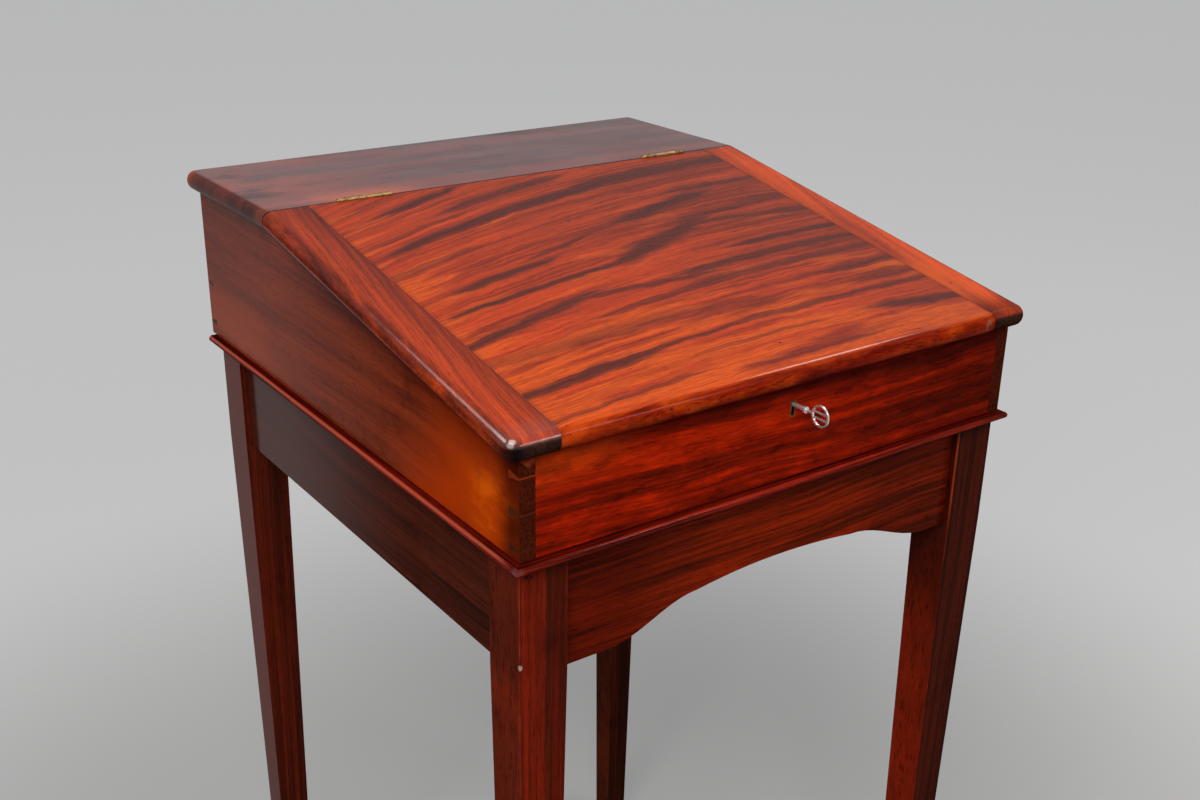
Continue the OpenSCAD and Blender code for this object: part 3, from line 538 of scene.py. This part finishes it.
def top_marks(s, look, place):
    """Dull varnish, stained dark at the left end and the back, redder by the left hinge, and a small knot."""
    x, y, _ = place
    plain_marks(s, look)
    cloud = s.patches((x, 7.0), (y, 16.0), 0.0, 3.0, 0.6)
    left = s.map(s.plus(x, s.swing(cloud, 0.3)), -0.10, -0.24)
    cover(s, look, (0.29, 0.042, 0.022), s.times(left, s.map(cloud, 0.42, 0.58, 0.1, 0.85)))
    near = s.times(s.map(y, RIDGE_Y + 0.05, RIDGE_Y + 0.005), s.map(x, -0.1, -0.18))
    cover(s, look, (0.62, 0.10, 0.02), s.times(near, s.map(cloud, 0.40, 0.60, 0.1, 0.7)))
    stain = s.patches((x, 11.0), (y, 22.0), 5.0, 3.0, 0.55)
    rim = s.most(s.map(x, -0.235, -0.300), s.times(s.map(y, BACK_Y - 0.055, BACK_Y - 0.01), 0.7))
    flat = s.map(s.normal()[2], 0.90, 0.99)
    stained = s.times(rim, flat, s.map(stain, 0.46, 0.64))
    cover(s, look, (0.020, 0.016, 0.020), s.times(stained, 0.75))
    cover(s, look, (0.015, 0.005, 0.004), s.times(spot(s, KNOT, KNOT_R, 1.5), 0.9))
    shade(s, look, (0.42, 0.52, 0.66), s.times(s.map(flat, 1.0, 0.6), s.map(x, -0.2, -0.3)))
    corner = s.times(s.map(y, BACK_Y - 0.05, BACK_Y), s.map(x, -0.28, -0.312), s.map(flat, 1.0, 0.5))
    cover(s, look, (0.34, 0.050, 0.018), s.times(corner, s.map(cloud, 0.35, 0.55, 0.3, 0.9)))
    ridge_gap(s, look, y)
    coat = s.minus(s.map(cloud, 0.35, 0.65, 1.0, 0.86), s.times(stained, 0.2))
    look["coat"] = s.times(coat, s.map(flat, 0.0, 1.0, 0.4, 1.0))


def pin_marks(s, look, place):
    """The front and back boards' dovetail pins show as faint lighter lines in the dark corners; a painted
    shadow of the lid lies along their top, a painted shade to the right, and a painted glint on an orange
    streak at the upper left.
    """
    x, _, z = place
    pin = s.map(s.absolute(x), HALF_W - BOARD_T - 0.0002, HALF_W - BOARD_T + 0.0002)
    cover(s, look, (0.052, 0.012, 0.005), s.times(pin, 0.92))
    # Painted shadow of the lid along the top of the board
    shade(s, look, (0.45, 0.38, 0.36), s.map(z, BOX_Z + 0.074, BOX_Z + 0.094))
    # Painted shade to the right
    shade(s, look, (0.46, 0.52, 0.7), s.times(s.map(x, 0.02, 0.27), 0.9))
    # An orange streak with a painted glint at the upper left
    streak_and_glint = s.times(s.map(x, -0.16, -0.24), s.map(z, BOX_Z + 0.05, BOX_Z + 0.085))
    cover(s, look, (0.50, 0.050, 0.004), s.times(streak_and_glint, 0.35))
    mottle = s.patches((x, 22.0), (z, 70.0), 0.0, 4.0, 0.65)
    shade(s, look, (1.5, 1.5, 1.2), s.map(mottle, 0.50, 0.66))
    shade(s, look, (0.6, 0.55, 0.6), s.map(mottle, 0.46, 0.34))


def bead_marks(s, look, place):
    """The bead is dirty on top, rubbed orange down the left side with a painted highlight along its nose
    there, and glossy at its front left corner.
    """
    x, y, _ = place
    plain_marks(s, look)
    up = s.normal()[2]
    flat = s.map(up, 0.90, 0.98)
    shade(s, look, (0.45, 0.40, 0.45), flat)
    left = s.times(s.map(x, -HALF_W + 0.0015, -HALF_W - 0.0010), s.map(y, FRONT_Y, FRONT_Y + 0.03))
    # Rubbed orange wood with a painted highlight on the upper nose of the left bead
    rubbed = s.times(left, s.band(up, 0.60, 0.15, 0.25))
    cover(s, look, (0.40, 0.062, 0.024), s.times(rubbed, 0.75))
    coat = s.linear(spot(s, BEAD_TIP, BEAD_TIP_R), 0.6, s.map(flat, 0.0, 1.0, 0.10, 0.03))
    look["coat"] = s.linear(rubbed, 0.30, coat)


def side_marks(s, look, place):
    """The varnish is greyer to the back; a painted pool of light shows bright orange near the dark front
    corner, and a painted shadow lies under the lid.
    """
    x, y, z = place
    plain_marks(s, look)
    blot = s.patches((y, 8.0), (z, 20.0), x, 3.0, 0.55)
    low = s.minus(z, BOX_Z)
    rear = s.times(s.map(low, 0.10, 0.02), s.map(y, FRONT_Y + 0.35, FRONT_Y + 0.60))
    cover(s, look, (0.32, 0.046, 0.014), s.times(rear, s.map(blot, 0.35, 0.60, 0.2, 0.8)))
    face = s.times(s.map(s.normal()[0], -0.5, -0.8), s.map(x, -0.28, -0.29))
    # Painted pool of light, bright orange near the front lower corner
    reach = s.plus(y, s.swing(blot, 0.16), s.times(low, 0.85))
    lit_patch = s.times(s.map(reach, FRONT_Y + 0.255, FRONT_Y + 0.125), face)
    cover(s, look, (0.40, 0.036, 0.001), s.times(lit_patch, s.map(blot, 0.30, 0.60, 0.55, 0.95)))
    rub = s.patches((y, 26.0), (z, 60.0), x, 3.0, 0.6)
    # The painted pool of light's brightest core
    lit_core = s.times(s.band(y, FRONT_Y + 0.045, 0.004, 0.050), s.band(low, 0.036, 0.004, 0.044))
    cover(s, look, (0.70, 0.115, 0.002), s.times(lit_core, face, s.map(rub, 0.38, 0.66, 0.10, 0.80)))
    # Painted shadow of the lid along the top of the side
    under_lid = s.linear(s.minus(RIDGE_Y, y), -math.tan(SLOPE), SIDE_H)
    shadow = s.map(s.minus(under_lid, low), 0.045, 0.0, 0.0, 0.75)
    shade(s, look, (0.42, 0.36, 0.50), s.times(shadow, face, s.map(y, RIDGE_Y, RIDGE_Y - 0.05)))
    corner = s.times(s.map(y, FRONT_Y + 0.044, FRONT_Y + 0.010), face)
    shade(s, look, (0.16, 0.15, 0.3), s.times(corner, s.map(blot, 0.3, 0.6, 0.7, 1.0)))
    look["coat"] = s.map(y, FRONT_Y + 0.12, FRONT_Y + 0.55, 0.012, 0.34)


def apron_marks(s, look, place):
    """The aprons of front and back, and the back strip: darker at the left end and redder in the middle."""
    x = place[0]
    plain_marks(s, look)
    shade(s, look, (0.66, 0.60, 0.50), s.map(x, -0.12, -0.19))
    shade(s, look, (1.35, 1.28, 0.80), s.band(x, 0.02, 0.08, 0.06))


def painted_reflection_marks(s, look, place):
    """A stand board with a painted greyish reflection to the back, where its varnish is also glossier."""
    y = place[1]
    plain_marks(s, look)
    # Painted reflection, greyer to the back
    back = s.map(y, FRONT_Y + 0.20, FRONT_Y + 0.46)
    cover(s, look, (0.070, 0.016, 0.010), s.times(back, 0.6))
    look["coat"] = s.map(y, FRONT_Y + 0.20, FRONT_Y + 0.52, 0.04, 0.42)


def leg_marks(s, look, place):
    """Painted light on the left faces, lines, chips and nicks on the front legs, and a painted greyish
    reflection on the back left leg, glossier there.
    """
    x, y, _ = place
    facing = s.normal()[0]
    left = s.map(facing, -0.5, -0.8)
    leg_faces(s, look, place, facing, left)
    plain_marks(s, look)
    leg_lines(s, look, place)
    # Painted greyish reflection on the back left leg's left face
    rear_reflection = s.times(left, s.map(y, FRONT_Y + 0.12, FRONT_Y + 0.50), s.map(x, 0.1, -0.1))
    cover(s, look, (0.125, 0.018, 0.009), s.times(rear_reflection, 0.7))
    look["coat"] = s.linear(rear_reflection, 0.34, 0.05)


def leg_faces(s, look, place, facing, left):
    """Painted light on the left faces: on the right, the front leg's is redder, with a painted shade towards
    its top; the right legs' other faces get a painted shade.
    """
    x, y, z = place
    front = s.map(y, FRONT_Y + 0.12, FRONT_Y + 0.10)
    # Painted light on the front legs' left faces
    shade(s, look, (1.9, 1.6, 1.3), s.times(left, front))
    front_right = s.times(left, front, s.map(x, 0.1, 0.2))
    shade(s, look, (1.25, 0.85, 0.7), front_right)
    # Painted shade towards the top of the front right leg
    shade(s, look, (0.62, 0.68, 0.85), s.times(front_right, s.map(z, BOX_Z - 0.30, BOX_Z - 0.12)))
    # Painted light on the back right leg's left face
    back_right = s.times(s.map(x, 0.1, 0.2), s.map(y, FRONT_Y + 0.12, FRONT_Y + 0.5))
    shade(s, look, (1.6, 2.0, 1.5), s.times(left, back_right))
    # Painted shade on the right legs' other faces
    shade(s, look, (0.62, 0.75, 0.9), s.times(s.map(facing, -0.5, -0.3), s.map(x, -0.26, -0.20)))


def leg_lines(s, look, place):
    """Red stripes and pale chips on the front left leg, a bright arris on the front right, and dark nicks."""
    x, y, z = place
    near = s.times(s.map(y, FRONT_Y + 0.0085, FRONT_Y + 0.0065), s.map(x, 0.0, -0.1))
    stripe = s.band(s.plus(x, s.times(s.minus(z, BOX_Z), 0.010)), -0.2855, 0.003, 0.016)
    stripe = s.most(stripe, s.times(s.band(x, -0.2545, 0.004, 0.010), 0.8))
    rise = s.patches((x, 40.0), (z, 3.0), 0.0)
    shade(s, look, (2.4, 1.3, 0.9), s.times(near, stripe, s.map(rise, 0.3, 0.55, 0.5, 0.95)))
    chip = spots(s, CHIPS)
    cover(s, look, (0.40, 0.27, 0.24), s.times(chip, 0.85))
    arris = s.times(s.band(x, 0.2486, 0.0005, 0.0007), s.map(y, FRONT_Y + 0.0064, FRONT_Y + 0.0050))
    cover(s, look, (0.28, 0.034, 0.008), s.times(arris, s.map(z, BOX_Z - 0.15, BOX_Z - 0.08, 0.05, 0.75)))
    nick = spots(s, NICKS)
    cover(s, look, (0.008, 0.004, 0.003), s.times(nick, 0.85))
    look["height"] = s.minus(look["height"], s.times(s.plus(chip, nick), 8.0))


def soften(node):
    """A copy of a CAD board with its long sharp arrises eased, which stands for the node."""
    mesh = NODES[node].data.copy()
    bm = bmesh.new()
    bm.from_mesh(mesh)
    bmesh.ops.remove_doubles(bm, verts=bm.verts, dist=MERGE_DISTANCE)
    bmesh.ops.dissolve_limit(bm, angle_limit=math.radians(FLAT_ANGLE), verts=bm.verts, edges=bm.edges)
    arris = bm.faces.layers.float.new("arris")
    sharp = [edge for edge in bm.edges if len(edge.link_faces) == 2 and edge.is_convex
             and edge.calc_length() > SHORTEST_ARRIS and edge.calc_face_angle(0) > math.radians(ARRIS_ANGLE)]
    eased = bmesh.ops.bevel(bm, geom=sharp, offset=EASE_WIDTH, offset_type="OFFSET", segments=2, profile=0.5,
                            affect="EDGES")
    for face in eased["faces"]:
        face[arris] = 1.0
    for face in bm.faces:
        face.smooth = True
    bm.to_mesh(mesh)
    bm.free()
    mesh.set_sharp_from_angle(angle=math.radians(SMOOTH_ANGLE))
    piece = bpy.data.objects.new("eased_" + node, mesh)
    bpy.context.scene.collection.objects.link(piece)
    piece.modifiers.new("normals", "WEIGHTED_NORMAL").keep_sharp = True
    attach(piece, BODY_OF[node])
    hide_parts(node)
    return piece


def paint(obj, mat):
    obj.data.materials.clear()
    obj.data.materials.append(mat)


def lid_woods():
    clamp = dict(**CLAMP, grain="Y", slope=SLOPE, wave=0.012, marks=clamp_marks)
    return {
        "lid_panel": wood("lid_panel_wood", **LID, slope=SLOPE, figure=LidFigure(), streak=(2.6, 60.0),
                          weights=(0.8, 0.8, 0.9), lines=0.85, marks=lid_marks),
        "lid_clamp_left": wood("clamp_left_wood", **clamp, shift=(3, 1, 0), lean=-0.16, streak=(1.6, 50.0),
                               weights=(0.6, 0.6, 0.8), lines=0.85, gloss=0.21),
        "lid_clamp_right": wood("clamp_right_wood", **clamp, shift=(7, 4, 0), lean=-0.12, streak=(1.3, 30.0),
                                weights=(0.7, 0.4, 0.5), lines=0.60),
    }


def box_woods():
    side = dict(**SIDE, grain="Y", streak=(2.4, 40.0), wave=0.006, weights=(0.6, 0.4, 0.5), marks=side_marks)
    return {
        "top_board": wood("top_board_wood", **TOP, shift=(2, 5, 0), coat=0.9, gloss=0.24, marks=top_marks),
        "left_side": wood("left_side_wood", **side, shift=(1, 8, 3)),
        "right_side": wood("right_side_wood", **side, shift=(4, 3, 9)),
        "front_board": wood("front_wood", **FRONT, shift=(5, 0, 2), streak=(1.5, 30.0), wave=0.012,
                            weights=(0.9, 0.7, 0.7), lines=0.65, coat=0.04, marks=pin_marks),
        "back_board": wood("back_wood", **SIDE, shift=(9, 0, 4), streak=(1.6, 34.0), wave=0.012, coat=0.25,
                           marks=pin_marks),
        "bottom_board": wood("bottom_wood", **INNER, **BARE, shift=(6, 2, 0)),
        "glue_blocks": wood("block_wood", **INNER, **BARE, grain="Z", shift=(6, 6, 0)),
    }


def stand_woods():
    """The woods of the stand and the bead frame, each board with its own shift in the grain."""
    looks = {}
    for i, node in enumerate(("leg_front_left", "leg_front_right", "leg_back_left", "leg_back_right")):
        looks[node] = wood(node + "_wood", **LEG, grain="Z", shift=(i * 2.3, i * 1.7, i), wave=0.003,
                           streak=(1.2, 60.0), weights=(0.9, 0.7, 0.5), marks=leg_marks)
    for i, node in enumerate(("front_apron", "back_apron", "back_strip")):
        looks[node] = wood(node + "_wood", **STAND, shift=(i * 3.1, i, i * 2), wave=0.008,
                           streak=(2.4, 50.0), weights=(0.7, 0.6, 0.5), lines=0.4, coat=0.05,
                           marks=apron_marks)
    for i, node in enumerate(("left_apron", "right_apron")):
        looks[node] = wood(node + "_wood", **SIDE_STAND, grain="Y", shift=(i * 2.7, i, i * 2),
                           streak=(1.8, 45.0), weights=(0.7, 0.5, 0.5), marks=painted_reflection_marks)
    for i, (node, grain) in enumerate((("bead_front", "X"), ("bead_left", "Y"), ("bead_right", "Y"))):
        looks[node] = wood(node + "_wood", **BEAD, grain=grain, shift=(i * 1.9, i, i * 3), wave=0.004,
                           streak=(3.0, 90.0), gloss=0.10, marks=bead_marks)
    return looks


def metal_looks(nodes):
    brass = metal("aged_brass", (0.55, 0.36, 0.13), (0.06, 0.03, 0.01), 0.32, 0.8)
    worn_brass = metal("worn_brass", (0.38, 0.25, 0.11), (0.06, 0.03, 0.011), 0.36, 0.8)
    steel = metal("key_steel", (0.78, 0.75, 0.73), (0.22, 0.15, 0.13), 0.26, 0.55, metallic=0.88)
    dark_brass = metal("dark_brass", (0.13, 0.09, 0.035), (0.02, 0.012, 0.006), 0.4, 0.8)
    dark_steel = metal("screw_steel", (0.42, 0.40, 0.38), (0.07, 0.05, 0.04), 0.4, 0.7)
    looks = {}
    for node in nodes:
        if node.startswith("hinge") and "pin" not in node:
            looks[node] = worn_brass
        elif node in ("key", "drill_pin", "hinge_pin_left", "hinge_pin_right", "bolt_spring"):
            looks[node] = steel
        elif node == "box_screws":
            looks[node] = dark_steel
        elif node == "keyhole_liner":
            looks[node] = dark_brass
        else:
            looks[node] = brass
    return looks


def dress():
    """Eased boards stand for the CAD's boards; its metal pieces stay and get their looks."""
    woods = {**lid_woods(), **box_woods(), **stand_woods()}
    metals = metal_looks([node for node in NODES if node not in woods])
    for node in NODES:
        if node in woods:
            paint(soften(node), woods[node])
        else:
            paint(NODES[node], metals[node])


def make_floor():
    """A pale floor, which is seen brighter than it lights the desk, and seen darker near the desk as a
    painted shadow.
    """
    bm = bmesh.new()
    bmesh.ops.create_grid(bm, x_segments=1, y_segments=1, size=FLOOR_REACH)
    mesh = bpy.data.meshes.new("floor")
    bm.to_mesh(mesh)
    bm.free()
    floor = bpy.data.objects.new("floor", mesh)
    bpy.context.scene.collection.objects.link(floor)
    s = Shader("floor")
    seen = s.seen()
    x, y, _ = s.split(s.coord.outputs["Object"])
    away = s.add("ShaderNodeVectorMath", {0: s.vec(x, y, 0.0)}, operation="LENGTH").outputs["Value"]
    # Painted shadow: the floor glows less within about a metre of the desk
    glow = s.plus(s.map(away, 0.7, 1.9, 0.17, 0.38), s.map(away, 1.5, 4.0, 0.0, 0.04))
    mat = s.finish(Base_Color=s.mix((0.18, 0.18, 0.18), (0.30, 0.30, 0.30), seen), Roughness=0.9,
                   Specular_IOR_Level=0.0, Emission_Color=(0.985, 0.99, 1.0, 1),
                   Emission_Strength=s.times(seen, glow))
    paint(floor, mat)


def make_world():
    """Soft light, dimmer from above than from the sides, where an even grey is seen."""
    world = bpy.data.worlds.new("studio")
    bpy.context.scene.world = world
    world.use_nodes = True
    s = Nodes(world.node_tree)
    height = s.split(s.coord.outputs["Generated"])[2]
    light = s.ramp(height, (0.28, (0.33, 0.333, 0.34)), (0.52, (0.18, 0.177, 0.173)))
    shown = s.mix(light, (0.52, 0.525, 0.53), s.seen())
    s.put(s.tree.nodes["Background"].inputs["Color"], shown)


def area_lamp(name, place, target, width, power, colour=(1, 1, 1)):
    data = bpy.data.lights.new(name, "AREA")
    data.size = width
    data.energy = power
    data.color = colour
    lamp = bpy.data.objects.new(name, data)
    lamp.location = place
    lamp.rotation_euler = (Vector(target) - Vector(place)).to_track_quat("-Z", "Y").to_euler()
    bpy.context.scene.collection.objects.link(lamp)
    return lamp


def make_lamps():
    """Softboxes that light the desk without a mirror image, and sparks that are only mirrored."""
    for name, place, width, power, colour in SOFTBOXES:
        area_lamp(name, place, BOX_MIDDLE, width, power, colour).visible_glossy = False
    for name, place, width, power in SPARKS:
        spark = area_lamp(name, place, LID_FRONT, width, power)
        spark.data.shape = "DISK"
        spark.visible_diffuse = False


bpy.context.scene.view_settings.view_transform = "Standard"
make_camera()
dress()
make_floor()
make_world()
make_lamps()
